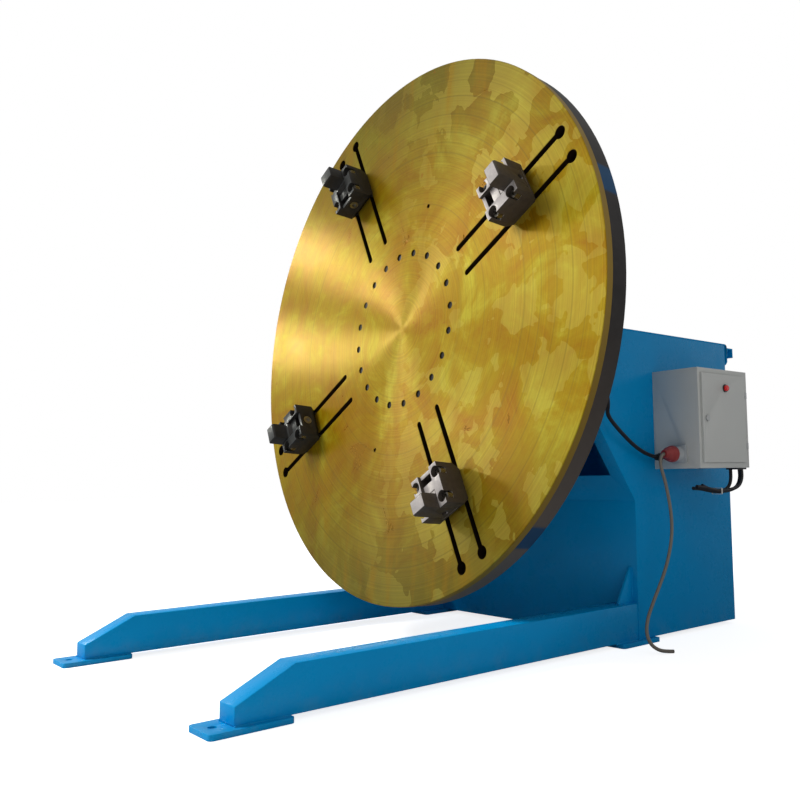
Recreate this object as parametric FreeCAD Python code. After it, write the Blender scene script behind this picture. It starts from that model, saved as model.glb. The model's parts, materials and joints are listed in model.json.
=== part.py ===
import FreeCAD, Part
import os
from math import acos, atan2, cos, degrees, hypot, pi, radians, sin, sqrt, tan

# Welding positioner with a tilting, turning faceplate.  Millimetres.
# The model is drawn with y = 0 on the stand's front panel, +y to the rear, +x to the cabinet side,
# and moved at export so that the origin is on the floor, at the middle of the footprint.

V = FreeCAD.Vector
X, Y, Z = V(1, 0, 0), V(0, 1, 0), V(0, 0, 1)

# ---- stand -----------------------------------------------------------------------------------
stand_half = 600.0        # half of the width over the side walls
stand_depth = 600.0
stand_top = 1120.0        # over the top cover
wall = 12.0               # side walls
panel = 10.0              # front, floor and rear panels
cover_t = 6.0             # folded top cover
kink_z = 500.0            # where the front starts to lean forward
front_slope = 0.70        # forward run of the leaning front per unit of rise
ear_z = 870.0             # the leaning front ends here and the ears go straight up
window_sill = 592.0
window_margin = 57.0      # from the outer face of a side wall to the window
shelf_z, shelf_t = 525.0, 20.0
service_hole = (400.0, 200.0, 900.0)   # half width, bottom, top of the hole in the rear panel
cover_lap, cover_plate_t = 30.0, 3.0

pad_t = 15.0              # foot plates
leg_len, leg_w, leg_wall = 1500.0, 85.0, 8.0
leg_top, leg_tip, leg_ramp = 140.0, 62.0, 160.0
foot_front, foot_side, foot_len = 70.0, 20.0, 220.0
mid_foot = (-110.0, 90.0, 25.0)        # front, rear, overhang beyond the side wall
rear_foot = (380.0, 570.0, 110.0, 90.0)  # front, rear, inset from the wall, width
foot_hole_r, foot_corner_r = 11.0, 12.0
gusset = (75.0, 125.0, 12.0, 25.0)     # run on the leg, height on the panel, thickness, inset

lip_out, lip_drop, lip_tuck = 20.0, 74.0, 14.0
lip_r = 15.0
top_cut_rear = 200.0      # the top is open for the head in front of this line
top_strip = 60.0
hook = (40.0, 38.0, 30.0, 6.0)         # reach, drop, width, thickness

# ---- tilting head ------------------------------------------------------------------------------
tilt_y, tilt_z = -150.0, 950.0
lean = 5.0                # degrees that the faceplate leans back at rest
tilt_up, tilt_down = 85.0, 5.0         # travel from rest to face up, and to upright
face_reach = 450.0        # tilt axis to the faceplate's front face
spin_rise = 155.0         # tilt axis to the spin axis
cheek_gap, cheek_t = 200.0, 25.0       # outer face of a side wall to the cheek's inner face
head_plate_t = 30.0
head_plate_top, head_plate_low = 335.0, 390.0   # above and below the spin axis
boss_r = 160.0
trunnion_r, trunnion_flange_r = 50.0, 110.0
bush_t, bush_clear = 12.0, 0.05
housing_t, housing_hub_r, housing_flange_r, housing_flange_t = 66.0, 74.0, 97.0, 20.0
housing_bolt_circle_r, housing_bolt_count, housing_bolt_r = 86.0, 6, 6.0
cross_tie = (-60.0, 140.0, 45.0)       # y and z from the tilt axis, radius

# ---- faceplate and slewing ring ----------------------------------------------------------------
table_r, table_t = 1000.0, 90.0
rim_band, rim_step = 26.0, 2.0         # machined band next to the face
table_chamfer = 2.0
bolt_circle_r, bolt_count = 285.0, 20
bolt_first = 9.0                       # degrees
table_bolt_r, table_head_r, table_head_h = 8.0, 12.0, 16.0
lift_hole_circle_r, lift_hole_r, lift_first = 460.0, 8.0, 75.0
ring_bore_r = 253.0
inner_ring_r, inner_ring_bore_r = 247.0, 185.0
ring_h, ring_offset = 70.0, 5.0
race_r, roller_size, roller_clear, roller_count = 250.0, 20.0, 0.4, 16
inner_bolt_circle_r, inner_bolt_count = 216.0, 8

# ---- gears ---------------------------------------------------------------------------------------
module = 10.0
backlash = 0.8
ring_teeth, spin_pinion_teeth = 66, 17
sector_teeth, tilt_pinion_teeth = 52, 14     # the sector is cut from a 52-tooth wheel
sector_t, sector_bore_clear, sector_overrun = 40.0, 0.5, 6.0
pinion_extra = 10.0                    # how much wider a pinion is than its wheel
spin_pinion_dir = -48.0                # seen from the front, from +x
tilt_pinion_dir = -55.0                # seen from the +x side, from +y
pinion_shaft_r = 28.0
shaft_clear = 0.05
brush_inset, brush_half, brush_holder_h, brush_travel = 39.0, (15.0, 12.0), 34.0, 4.0

# ---- drives --------------------------------------------------------------------------------------
spin_box_r, spin_box_len, spin_flange_r, spin_flange_t = 100.0, 140.0, 118.0, 15.0
spin_motor_r, spin_motor_len = 82.0, 300.0
tilt_box_w, tilt_box_r = 200.0, 112.0
worm_rise, worm_r, worm_len = 120.0, 52.0, 220.0
tilt_motor_r, tilt_motor_len = 92.0, 320.0

# ---- T-slots and jaws ----------------------------------------------------------------------------
slot_first = 30.0         # degrees; four pairs at right angles
slot_gap = 110.0          # between the two slots of a pair
slot_in, slot_end = 390.0, 60.0        # inner end's radius, and outer end's distance from the rim
slot_w, slot_under_w, slot_neck, slot_depth = 22.0, 40.0, 35.0, 60.0
entry_r = 22.0
jaw_inset = 300.0         # middle of a clamped jaw unit, from the rim
jaw_l, jaw_w, jaw_h = 150.0, 140.0, 95.0
jaw_bolt_a, jaw_pocket_r, jaw_pocket_d = 45.0, 19.0, 35.0
jaw_bolt_r, jaw_head_r, jaw_head_h = 10.0, 15.0, 20.0
jaw_end_cut = (20.0, 22.0)             # length and height cut off the lower ends
channel_w, channel_floor = 64.0, 30.0
tee_w, tee_h = 84.0, 12.0
slide_clear = 0.3
jaw_in, jaw_out = -35.0, 75.0          # ends of the sliding jaw from the unit's middle
jaw_low, jaw_step, jaw_tip_l, jaw_tip_h = 83.0, 12.0, 53.0, 155.0
screw_z, screw_r, screw_end = 52.0, 10.0, 45.0
screw_head_r, screw_head_t, end_plate_t = 17.0, 8.0, 14.0
tee_nut = (34.0, 36.0, 20.0)

# ---- control cabinet -----------------------------------------------------------------------------
cab_front, cab_rear = 120.0, 430.0
cab_low, cab_high = 612.0, 970.0
cab_out = 200.0           # from the side wall to the front frame of the case
sheet = 2.0
frame_w = 25.0            # front frame of the case, which the door closes on
plate_gap, plate_sheet, plate_edge, post_r = 14.0, 3.0, 20.0, 6.0
contactor, inverter, terminal_rail = (90.0, 45.0, 80.0, 52.0), (125.0, 90.0, 160.0), (45.0, 45.0)
door_front, door_rear = 134.0, 403.0
door_low, door_high = 632.0, 951.0
door_t, door_gap = 9.0, 0.5
hinge_r, hinge_h, hinge_pin_r, hinge_clear = 5.0, 44.0, 2.0, 0.1
hinge_z = (704.0, 893.0)
lamp_y, lamp_z, lamp_r = 275.0, 901.0, 14.0
lock_y, lock_z, lock_r = 159.0, 789.0, 11.0
inlet_x, inlet_z, inlet_w, inlet_base_r = 712.0, 664.0, 66.0, 22.5
plug_len, plug_bore = 92.0, 14.0       # length out of the cabinet, depth of the cord's bore
gland_len = 26.0
lead_gland_x, lead_gland_z = 627.0, 655.0
wall_gland_y, wall_gland_z = -238.0, 900.0
entry_t, entry_edge = 6.0, 5.0         # rubber cable entry in the cabinet's floor
tie_y, tie_w, tie_t, tie_clear = 300.0, 6.0, 1.5, 0.8
supply_r, lead_r, spare_r = 6.0, 7.0, 6.5

# ---- derived -------------------------------------------------------------------------------------
inner_x = stand_half - wall
cheek_x = stand_half - cheek_gap
tilt_box_x = (5.0 - cheek_x, 5.0 - cheek_x + tilt_box_w)
wall_top = stand_top - cover_t
ear_y = -front_slope * (ear_z - kink_z)
rear_end = stand_depth + lip_out + hook[0]
front_end = -(leg_len + foot_front)
to_origin = V(0, -(front_end + rear_end) / 2, 0)
face_y = tilt_y - face_reach
spin_z = tilt_z + spin_rise
table_back_y = face_y + table_t
plate_y = table_back_y + ring_h + ring_offset
plate_back_y = plate_y + head_plate_t
trunnion_x = cheek_x + cheek_t
ring_pitch_r = module * ring_teeth / 2
spin_centre = module * (ring_teeth + spin_pinion_teeth) / 2
tilt_centre = module * (sector_teeth + tilt_pinion_teeth) / 2
spin_pinion_x = spin_centre * cos(radians(spin_pinion_dir))
spin_pinion_z = spin_z + spin_centre * sin(radians(spin_pinion_dir))
tilt_pinion_y = tilt_y + tilt_centre * cos(radians(tilt_pinion_dir))
tilt_pinion_z = tilt_z + tilt_centre * sin(radians(tilt_pinion_dir))
cab_x = stand_half + cab_out
slot_out = table_r - slot_end
jaw_r = table_r - jaw_inset
hinge_x = cab_x + hinge_r + 1.0
hinge_y = door_rear + hinge_r + 1.0


# ---- helpers -------------------------------------------------------------------------------------
def emit(name, *solids):
    """Write one node, moved to the row's origin."""
    shapes = []
    for solid in solids:
        copy = solid.copy()
        copy.translate(to_origin)
        shapes.append(copy)
    shape = shapes[0] if len(shapes) == 1 else Part.makeCompound(shapes)
    shape.exportStep("parts/" + name + ".step")


def box(x0, x1, y0, y1, z0, z1):
    return Part.makeBox(x1 - x0, y1 - y0, z1 - z0, V(x0, y0, z0))


def rod(x, y, z, direction, radius, length):
    return Part.makeCylinder(radius, length, V(x, y, z), direction)


def ring(x, y, z, direction, outer, inner, length):
    return rod(x, y, z, direction, outer, length).cut(rod(x, y, z, direction, inner, length))


def prism(points, direction):
    """Extrude a closed outline given as vectors."""
    return Part.Face(Part.makePolygon(points + points[:1])).extrude(direction)


def side_plate(points, x0, x1):
    return prism([V(x0, y, z) for y, z in points], X * (x1 - x0))


def front_plate(points, y0, y1):
    return prism([V(x, y0, z) for x, z in points], Y * (y1 - y0))


def hexagon(x, y, z, direction, radius, height):
    """Six-sided head or nut, by turning a point about the axis."""
    side = direction.cross(V(0.3, 0.5, 0.8)).normalize() * radius
    turn = FreeCAD.Rotation(direction, 60)
    points = []
    for _ in range(6):
        points.append(V(x, y, z) + side)
        side = turn.multVec(side)
    return prism(points, direction * height)


def hex_bolt(x, y, z, direction, radius, grip):
    """Hex bolt: the head stands on (x, y, z) against direction, the shank runs along direction."""
    back = direction * -1
    return hexagon(x, y, z, back, radius * 1.7, radius * 1.25).fuse(rod(x, y, z, direction, radius, grip))


def mirrored(shape):
    return shape.mirror(V(0, 0, 0), X)


def leaned(shape):
    """From the upright pose to the rest pose, about the tilt axis."""
    copy = shape.copy()
    copy.rotate(V(0, tilt_y, tilt_z), X, -lean)
    return copy


def fused(shapes):
    return shapes[0].multiFuse(shapes[1:]).removeSplitter()


def gear_outline(teeth, first, last, phase, steps):
    """Involute teeth numbered first to last, as (angle, radius) points about the wheel's axis."""
    pitch_r = module * teeth / 2
    base_r = pitch_r * cos(radians(20))
    tip_r, root_r = pitch_r + module, pitch_r - 1.25 * module
    half = (pi * module / 2 - backlash / 2) / (2 * pitch_r)

    def involute(r):
        pressure = acos(min(1.0, base_r / r))
        return tan(pressure) - pressure

    start_r = max(base_r, root_r)
    flank = [start_r + (tip_r - start_r) * i / steps for i in range(steps + 1)]
    offsets = [half + involute(pitch_r) - involute(r) for r in flank]
    outline = []
    for tooth in range(first, last + 1):
        middle = phase + tooth * 2 * pi / teeth
        rise = [(middle - a, r) for a, r in zip(offsets, flank)]
        fall = [(middle + a, r) for a, r in reversed(list(zip(offsets, flank)))]
        if root_r < start_r - 0.01:
            rise.insert(0, (middle - offsets[0], root_r))
            fall.append((middle + offsets[0], root_r))
        outline += rise + fall
    return outline


# ---- stand ---------------------------------------------------------------------------------------
def stand():
    side = [(0, pad_t), (stand_depth, pad_t), (stand_depth, wall_top), (ear_y, wall_top),
            (ear_y, ear_z), (0, kink_z)]
    walls = side_plate(side, inner_x, stand_half)
    window_half = stand_half - window_margin
    leaning = side_plate([(0, kink_z), (ear_y, ear_z), (ear_y + panel, ear_z), (panel, kink_z)],
                         -inner_x, inner_x)
    leaning = leaning.cut(box(-window_half, window_half, ear_y - 1, panel + 1, window_sill, ear_z + 1))
    strip = box(window_half, inner_x, ear_y, ear_y + panel, ear_z, wall_top)
    half_w, low, high = service_hole
    rear = box(-inner_x, inner_x, stand_depth - panel, stand_depth, pad_t, wall_top)
    rear = rear.cut(box(-half_w, half_w, stand_depth - panel, stand_depth, low, high))
    shelf_front = -front_slope * (shelf_z - kink_z) + panel / 2
    body = fused([walls, mirrored(walls), leaning, strip, mirrored(strip), rear,
                  box(-inner_x, inner_x, 0, panel, pad_t, kink_z),
                  box(-inner_x, inner_x, panel, stand_depth - panel, pad_t, pad_t + panel),
                  box(-inner_x, inner_x, shelf_front, stand_depth - panel, shelf_z, shelf_z + shelf_t)])
    gland_hole = rod(inner_x - 1, wall_gland_y, wall_gland_z, X, lead_r + 1, wall + 2)
    emit("frame_body", body.cut(gland_hole))


def leg():
    """Hollow beam with a ramped tip, open at the rear where it butts against the stand."""
    def outline(inset, rear):
        shift = inset / cos(atan2(leg_top - leg_tip, leg_ramp)) - inset * tan(atan2(leg_top - leg_tip, leg_ramp))
        return [(-leg_len + inset, pad_t + inset), (-leg_len + inset, leg_tip - shift),
                (-leg_len + leg_ramp + inset * 0.3, leg_top - inset), (rear, leg_top - inset),
                (rear, pad_t + inset)]

    solid = side_plate(outline(0, 0), stand_half - leg_w, stand_half)
    hollow = side_plate(outline(leg_wall, 1), stand_half - leg_w + leg_wall, stand_half - leg_wall)
    beam = solid.cut(hollow)
    emit("right_leg", beam)
    emit("left_leg", mirrored(beam))


def gussets():
    run, rise, thick, inset = gusset
    x1 = stand_half - inset
    plate = side_plate([(0, leg_top), (-run, leg_top), (-run, leg_top + 8), (-8, leg_top + rise),
                        (0, leg_top + rise)], x1 - thick, x1)
    emit("leg_gussets", plate, mirrored(plate))


def foot(x0, x1, y0, y1):
    """Floor plate with rounded corners."""
    plate = box(x0, x1, y0, y1, 0, pad_t)
    corners = [e for e in plate.Edges if abs(e.Vertexes[0].Z - e.Vertexes[1].Z) > pad_t / 2]
    return plate.makeFillet(foot_corner_r, corners)


def feet():
    """Front plates with an anchor hole ahead of the leg, middle plates and rear pads."""
    hole = rod(stand_half - leg_w / 2, front_end + foot_front / 2, 0, Z, foot_hole_r, pad_t)
    front = foot(stand_half - leg_w - foot_side, stand_half + foot_side, front_end, front_end + foot_len)
    y0, y1, over = mid_foot
    middle = foot(stand_half - leg_w - over, stand_half + over, y0, y1)
    y0, y1, inset, width = rear_foot
    rear = foot(stand_half - inset - width, stand_half - inset, y0, y1)
    plates = [front.cut(hole), middle, rear]
    emit("foot_plates", *(plates + [mirrored(p) for p in plates]))


def top_cover():
    """Top plate with a folded rear lip that tucks back under, and side strips up to the ears."""
    y_out = stand_depth + lip_out
    z_low = stand_top - lip_drop
    t = cover_t
    fold = t * tan(radians(22.5))
    points = [V(0, ear_y, wall_top), V(0, ear_y, stand_top), V(0, y_out, stand_top), V(0, y_out, z_low),
              V(0, y_out - lip_tuck, z_low - lip_tuck), V(0, y_out - lip_tuck - t * 0.7, z_low - lip_tuck + t * 0.7),
              V(0, y_out - t, z_low + fold), V(0, y_out - t, wall_top)]
    sheet_solid = prism([p + X * -stand_half for p in points], X * (2 * stand_half))
    outer = [e for e in sheet_solid.Edges if all(abs(v.Y - y_out) < 0.1 and abs(v.Z - stand_top) < 0.1
                                                 for v in e.Vertexes)]
    sheet_solid = sheet_solid.makeFillet(lip_r, outer)
    half = stand_half - top_strip
    emit("top_cover", sheet_solid.cut(box(-half, half, ear_y, top_cut_rear, wall_top, stand_top)))


def rear_cover():
    half_w, low, high = service_hole
    plate = box(-half_w - cover_lap, half_w + cover_lap, stand_depth, stand_depth + cover_plate_t,
                low - cover_lap, high + cover_lap)
    emit("rear_cover", plate)


def cable_hook():
    reach, drop, width, t = hook
    y0 = stand_depth + lip_out
    z1 = stand_top - lip_r
    points = [(y0, z1), (y0 + reach, z1), (y0 + reach, z1 - drop), (y0 + reach - t, z1 - drop),
              (y0 + reach - t, z1 - t), (y0 + t, z1 - t), (y0 + t, z1 - 2.5 * t), (y0, z1 - 2.5 * t)]
    emit("cable_hook", side_plate(points, stand_half - width, stand_half))


def housing_bolt_places():
    places = ring_of_points(housing_bolt_circle_r, housing_bolt_count, 0)
    return [(tilt_y + y, tilt_z + z) for y, z in places]


def trunnion_bearings():
    x0 = inner_x - housing_t
    housing = rod(inner_x - housing_flange_t, tilt_y, tilt_z, X, housing_flange_r, housing_flange_t)
    housing = housing.fuse(rod(x0, tilt_y, tilt_z, X, housing_hub_r, housing_t))
    housing = housing.cut(rod(x0, tilt_y, tilt_z, X, trunnion_r + bush_t, housing_t))
    housing = housing.cut([rod(inner_x - housing_flange_t, y, z, X, housing_bolt_r + 0.5, housing_flange_t)
                           for y, z in housing_bolt_places()])
    bush = ring(x0, tilt_y, tilt_z, X, trunnion_r + bush_t, trunnion_r + bush_clear, housing_t)
    emit("trunnion_housings", housing, mirrored(housing))
    emit("trunnion_bushes", bush, mirrored(bush))


def stand_bolts():
    """Bolts of the trunnion housings and screws of the rear cover."""
    bolts = []
    for y, z in housing_bolt_places():
        bolt = hex_bolt(inner_x - housing_flange_t, y, z, X, housing_bolt_r, housing_flange_t)
        bolts += [bolt, mirrored(bolt)]
    half_w, low, high = service_hole
    for x in (-1, 0, 1):
        for z in (low - cover_lap / 2, high + cover_lap / 2):
            bolts.append(hexagon(x * (half_w + cover_lap / 2), stand_depth + cover_plate_t, z, Y, 10.0, 6.0))
    emit("stand_bolts", *bolts)


# ---- tilt drive ----------------------------------------------------------------------------------
def tilt_drive():
    """Worm gearbox on the shelf, its motor behind it and the pinion that drives the sector."""
    x0, x1 = tilt_box_x
    y, z = tilt_pinion_y, tilt_pinion_z
    middle = (x0 + x1) / 2
    foot_top = shelf_z + shelf_t + 25
    foot_front_y = -front_slope * (shelf_z + shelf_t - kink_z) + panel + 2
    case = fused([rod(x0, y, z, X, tilt_box_r, x1 - x0),
                  rod(x0, y, z, X, tilt_box_r * 0.6, x1 - x0 + 12),
                  box(x0 + 15, x1 - 15, foot_front_y + 8, y + 95, foot_top - 2, z),
                  box(x0, x1, foot_front_y, y + 120, shelf_z + shelf_t, foot_top),
                  box(middle - 45, middle + 45, y - 75, y + 75, z, z + worm_rise),
                  rod(middle, y - worm_len / 2, z + worm_rise, Y, worm_r, worm_len),
                  rod(middle, y - worm_len / 2 - 10, z + worm_rise, Y, worm_r * 0.7, 10),
                  rod(middle, y + worm_len / 2 - 16, z + worm_rise, Y, worm_r * 1.5, 16)])
    case = case.cut(rod(x0, y, z, X, pinion_shaft_r + shaft_clear, 60))
    emit("tilt_gearbox", case)
    emit("tilt_motor", motor(middle, y + worm_len / 2, z + worm_rise, tilt_motor_r, tilt_motor_len))
    width = sector_t + pinion_extra
    px0 = -trunnion_x - sector_t - pinion_extra / 2
    phase = radians(tilt_pinion_dir) + pi + pi / tilt_pinion_teeth
    outline = gear_outline(tilt_pinion_teeth, 0, tilt_pinion_teeth - 1, phase, 3)
    wheel = side_plate([(y + r * cos(a), z + r * sin(a)) for a, r in outline], px0, px0 + width)
    shaft = rod(px0, y, z, X, pinion_shaft_r, x0 + 55 - px0)
    emit("tilt_pinion", wheel.fuse(shaft))


def motor(x, y, z, radius, length):
    """Foot-less induction motor, with its axis along +y from its flange at y."""
    fins = []
    for i in range(16):
        fin = box(-1.5, 1.5, y + 40, y + length - 70, radius * 0.86, radius)
        fin.rotate(V(0, 0, 0), Y, i * 22.5 + 11.25)
        fin.translate(V(x, 0, z))
        fins.append(fin)
    cover = rod(x, y + length - 70, z, Y, radius, 70)
    cover = cover.makeFillet(radius * 0.12, [e for e in cover.Edges
                                             if e.Length > 5 * radius and e.CenterOfMass.y > y + length - 1])
    body = [rod(x, y, z, Y, radius, 14), rod(x, y + 14, z, Y, radius * 0.88, length - 84), cover,
            box(x - 45, x + 45, y + 60, y + 160, z + radius * 0.6, z + radius * 1.28)]
    return fused(body + fins)


# ---- tilting head --------------------------------------------------------------------------------
def head_frame():
    """Front plate, two cheeks with trunnion bosses, and the tube that ties the cheeks."""
    low, top = spin_z - head_plate_low, spin_z + head_plate_top
    outline = [(-trunnion_x, low + 90), (-trunnion_x + 110, low), (trunnion_x, low),
               (trunnion_x, spin_z + 150), (trunnion_x - 180, top), (180 - trunnion_x, top),
               (-trunnion_x, spin_z + 150)]
    plate = front_plate(outline, plate_y, plate_back_y)
    plate = plate.cut(rod(0, plate_y, spin_z, Y, inner_ring_bore_r - 25, head_plate_t))
    plate = plate.cut(rod(spin_pinion_x, plate_y, spin_pinion_z, Y, spin_flange_r - 25, head_plate_t))
    for x, z in ring_of_points(inner_bolt_circle_r, inner_bolt_count, 22.5):
        plate = plate.cut(rod(x, plate_y, spin_z + z, Y, 8.5, head_plate_t))
    cheek = side_plate([(plate_back_y, low + 115), (tilt_y, tilt_z - boss_r), (tilt_y, tilt_z + boss_r),
                        (plate_back_y, spin_z + 145)], cheek_x, trunnion_x)
    cheek = cheek.fuse(rod(cheek_x, tilt_y, tilt_z, X, boss_r, cheek_t))
    tie_y, tie_z, tie_r = cross_tie
    tie = rod(-cheek_x, tilt_y + tie_y, tilt_z + tie_z, X, tie_r, 2 * cheek_x)
    tie = tie.cut(rod(-cheek_x, tilt_y + tie_y, tilt_z + tie_z, X, tie_r - 8, 2 * cheek_x))
    emit("head_frame", leaned(fused([plate, cheek, mirrored(cheek), tie])))


def ring_of_points(radius, count, first):
    angles = [radians(first + i * 360.0 / count) for i in range(count)]
    return [(radius * cos(a), radius * sin(a)) for a in angles]


def trunnion_shafts():
    flange = rod(trunnion_x, tilt_y, tilt_z, X, trunnion_flange_r, sector_t)
    journal = rod(trunnion_x + sector_t, tilt_y, tilt_z, X, trunnion_r, inner_x - 8 - trunnion_x - sector_t)
    shaft = fused([flange, journal])
    emit("trunnion_shafts", shaft, mirrored(shaft))


def tilt_sector():
    """Toothed sector on the left cheek, drawn in the rest pose."""
    pitch = 2 * pi / sector_teeth
    first = -int((tilt_down + sector_overrun) / degrees(pitch)) - 1
    last = int((tilt_up + sector_overrun) / degrees(pitch)) + 1
    outline = gear_outline(sector_teeth, first, last, radians(tilt_pinion_dir), 2)
    x1 = -trunnion_x
    points = [(tilt_y, tilt_z)] + [(tilt_y + r * cos(a), tilt_z + r * sin(a)) for a, r in outline]
    wedge = side_plate(points, x1 - sector_t, x1)
    solid = wedge.fuse(rod(x1 - sector_t, tilt_y, tilt_z, X, boss_r, sector_t)).removeSplitter()
    bore = rod(x1 - sector_t, tilt_y, tilt_z, X, trunnion_flange_r + sector_bore_clear, sector_t)
    solid = solid.cut(bore)
    middle = tilt_pinion_dir + (tilt_up - tilt_down) / 2
    for i in (-1, 0, 1):
        a = radians(middle + 30 * i)
        reach = (boss_r + module * sector_teeth / 2) / 2 - 8
        solid = solid.cut(rod(x1 - sector_t, tilt_y + reach * cos(a), tilt_z + reach * sin(a), X, 22, sector_t))
    emit("tilt_sector", solid)


def head_bolts():
    """Bolts of the slewing ring's inner race, and of the sector."""
    bolts = []
    for x, z in ring_of_points(inner_bolt_circle_r, inner_bolt_count, 22.5):
        bolt = hex_bolt(x, plate_back_y, spin_z + z, Y * -1, 8.0, head_plate_t)
        bolts.append(leaned(bolt))
    for y, z in ring_of_points((trunnion_flange_r + boss_r) / 2, 6, tilt_pinion_dir):
        bolts.append(hexagon(-trunnion_x - sector_t, tilt_y + y, tilt_z + z, X * -1, 13.0, 10.0))
    emit("head_bolts", *bolts)


def spin_drive():
    x, z = spin_pinion_x, spin_pinion_z
    y = plate_back_y
    case = fused([rod(x, y, z, Y, spin_flange_r, spin_flange_t),
                  rod(x, y + spin_flange_t, z, Y, spin_box_r, spin_box_len - spin_flange_t - 20),
                  rod(x, y + spin_box_len - 20, z, Y, spin_box_r * 0.92, 20),
                  rod(x, plate_y + 2, z, Y, spin_flange_r - 25.2, head_plate_t - 2)])
    case = case.cut(rod(x, plate_y, z, Y, pinion_shaft_r + shaft_clear, 70))
    emit("spin_gearbox", leaned(case))
    emit("spin_motor", leaned(motor(x, y + spin_box_len, z, spin_motor_r, spin_motor_len)))
    width = ring_h - 2 * ring_offset
    y0 = table_back_y + ring_offset
    phase = radians(spin_pinion_dir) + pi + pi / spin_pinion_teeth
    outline = gear_outline(spin_pinion_teeth, 0, spin_pinion_teeth - 1, phase, 3)
    wheel = front_plate([(x + r * cos(a), z + r * sin(a)) for a, r in outline], y0, y0 + width)
    shaft = rod(x, y0, z, Y, pinion_shaft_r, plate_y + 60 - y0)
    emit("spin_pinion", leaned(wheel.fuse(shaft)))


def race_groove():
    """Diamond groove of the crossed rollers, turned about the spin axis."""
    half = (roller_size + roller_clear) / sqrt(2)
    y = table_back_y + ring_offset / 2 + ring_h / 2
    points = [V(race_r + a * half, y + b * half, spin_z) for a, b in ((1, 0), (0, 1), (-1, 0), (0, -1))]
    return Part.Face(Part.makePolygon(points + points[:1])).revolve(V(0, 0, spin_z), Y, 360)


def slewing_ring():
    groove = race_groove()
    outline = gear_outline(ring_teeth, 0, ring_teeth - 1, radians(spin_pinion_dir), 2)
    y0 = table_back_y
    gear = front_plate([(r * cos(a), spin_z + r * sin(a)) for a, r in outline], y0, y0 + ring_h)
    gear = gear.cut(rod(0, y0, spin_z, Y, ring_bore_r, ring_h)).cut(groove)
    for x, z in ring_of_points(bolt_circle_r, bolt_count, bolt_first):
        gear = gear.cut(rod(x, y0, spin_z + z, Y, table_bolt_r + 0.2, ring_h - 15))
    emit("slewing_gear_ring", leaned(gear))
    inner = ring(0, y0 + ring_offset, spin_z, Y, inner_ring_r, inner_ring_bore_r, ring_h).cut(groove)
    emit("slewing_inner_ring", leaned(inner))
    size = roller_size - roller_clear
    rollers = []
    for i in range(roller_count):
        a = radians(360.0 / roller_count * i)
        out = V(cos(a), 0, sin(a))
        axis = (out + Y * (1 if i % 2 else -1)).normalize()
        middle = V(0, y0 + ring_offset / 2 + ring_h / 2, spin_z) + out * race_r
        rollers.append(leaned(Part.makeCylinder(size / 2, size, middle - axis * (size / 2), axis)))
    emit("slewing_rollers", *rollers)


def earth_brush():
    """Spring-loaded carbon brush that earths the faceplate."""
    x, z = brush_inset - trunnion_x, spin_z
    half_l, half_w, clear = brush_half[0], brush_half[1], 0.2
    y0 = plate_y - brush_holder_h
    holder = box(x - 2 * half_l, x + 2 * half_l, y0, plate_y, z - 2 * half_w, z + 2 * half_w)
    well = box(x - half_l - clear, x + half_l + clear, y0, plate_y - 4, z - half_w - clear, z + half_w + clear)
    emit("brush_holder", leaned(holder.cut(well)))
    brush = box(x - half_l, x + half_l, table_back_y + slide_clear, plate_y - 4 - brush_travel - 1,
                z - half_w, z + half_w)
    emit("earth_brush", leaned(brush))


# ---- faceplate -----------------------------------------------------------------------------------
def faceplate():
    c = table_chamfer
    r1, r2 = table_r, table_r - rim_step
    outline = [(0, 0), (r1 - c, 0), (r1, c), (r1, rim_band), (r2, rim_band + rim_step), (r2, table_t - c),
               (r2 - c, table_t), (0, table_t)]
    points = [V(r, face_y + d, spin_z) for r, d in outline]
    plate = Part.Face(Part.makePolygon(points + points[:1])).revolve(V(0, 0, spin_z), Y, 360)
    cuts = []
    for x, z in ring_of_points(bolt_circle_r, bolt_count, bolt_first):
        cuts.append(rod(x, face_y, spin_z + z, Y, table_head_r + 1, table_head_h + 4))
        cuts.append(rod(x, face_y, spin_z + z, Y, table_bolt_r + 0.5, table_t))
    for x, z in ring_of_points(lift_hole_circle_r, 2, lift_first):
        cuts.append(rod(x, face_y, spin_z + z, Y, lift_hole_r, 60))
    for i in range(4):
        cuts += [on_table(s, slot_first + 90 * i) for s in slot_pair()]
    emit("faceplate", leaned(plate.cut(cuts)))


def slot_pair():
    """Two T-slots with entry holes, along local +x, sunk below local z = 0."""
    cuts = []
    for y in (-slot_gap / 2, slot_gap / 2):
        neck = box(slot_in, slot_out, y - slot_w / 2, y + slot_w / 2, -slot_depth, 0)
        under = box(slot_in, slot_out, y - slot_under_w / 2, y + slot_under_w / 2, -slot_depth, -slot_neck)
        cuts.append(fused([neck, rod(slot_in, y, -slot_depth, Z, slot_w / 2, slot_depth), under,
                           rod(slot_in, y, -slot_depth, Z, slot_under_w / 2, slot_depth - slot_neck),
                           rod(slot_out, y, -slot_depth, Z, entry_r, slot_depth)]))
    return cuts


def on_table(shape, angle):
    """Place a shape drawn with x outward and z off the face onto the faceplate, in the rest pose of the head
    before its lean."""
    c, s = cos(radians(angle)), sin(radians(angle))
    matrix = FreeCAD.Matrix(c, -s, 0, 0, 0, 0, -1, face_y, s, c, 0, spin_z, 0, 0, 0, 1)
    copy = shape.copy()
    copy.Placement = FreeCAD.Placement(matrix).multiply(copy.Placement)
    return copy


def faceplate_bolts():
    bolts = []
    for x, z in ring_of_points(bolt_circle_r, bolt_count, bolt_first):
        head = rod(x, face_y + 4, spin_z + z, Y, table_head_r, table_head_h)
        shank = rod(x, face_y + 4 + table_head_h, spin_z + z, Y, table_bolt_r, table_t + 20 - table_head_h)
        bolts.append(leaned(head.fuse(shank)))
    emit("faceplate_bolts", *bolts)


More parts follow.
